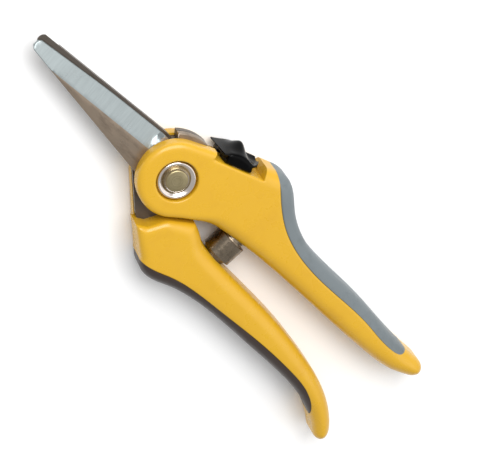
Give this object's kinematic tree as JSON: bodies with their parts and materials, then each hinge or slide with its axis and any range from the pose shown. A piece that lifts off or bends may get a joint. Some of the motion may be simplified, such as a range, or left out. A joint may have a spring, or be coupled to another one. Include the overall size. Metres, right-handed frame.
{
  "type": "pruning shears",
  "caption": "Straight-bladed bypass pruning shears with moulded handles, soft grips, volute spring, bolted pivot and thumb lock.",
  "frame": {"origin": "on the pivot axis, on the plane the tool lies on", "axes": "+X along the closed blades to their tips, +Y towards the lower handle, +Z out of the front face"},
  "size_m": [0.1921, 0.0587, 0.016],
  "materials": {
    "blade_steel": "ground steel, bright on the bevel",
    "yellow_nylon": "satin moulded",
    "grey_grip": "soft-touch moulded",
    "dark_grip": "soft-touch moulded",
    "bright_chrome": "polished",
    "bolt_steel": "plated",
    "bush_brass": "turned",
    "spring_steel": "rolled strip",
    "black_lock": "glossy moulded"
  },
  "bodies": {
    "upper": {"upper_blade": "blade_steel", "upper_handle": "yellow_nylon", "upper_grip": "grey_grip", "pivot_cup": "bright_chrome", "pivot_bolt": "bolt_steel", "pivot_sleeve": "bolt_steel", "centre_washer": "bush_brass", "nut_washer": "bolt_steel", "disc_spring": "spring_steel", "pivot_nut": "bolt_steel", "volute_spring": "spring_steel", "upper_spring_stud": "bolt_steel", "lock_detent_spring": "spring_steel"},
    "lower": {"lower_blade": "blade_steel", "lower_handle": "yellow_nylon", "lower_grip": "dark_grip", "cheek_bush": "bush_brass", "lower_spring_stud": "bolt_steel"},
    "lock": {"lock_slider": "black_lock", "lock_tongue": "bolt_steel"}
  },
  "joints": [
    {"name": "handle_pivot", "type": "hinge", "parent": "upper", "child": "lower", "pos_m": [0, 0, 0.0081], "axis": [0, 0, -1], "range_deg": [0, 28], "stiffness_Nm_per_rad": 0.2, "springref_deg": 31.51, "deforming": ["volute_spring"]},
    {"name": "lock_slide", "type": "slide", "parent": "upper", "child": "lock", "axis": [0.9373, 0.3486, 0], "range_m": [-0.002, 0.003]}
  ]
}
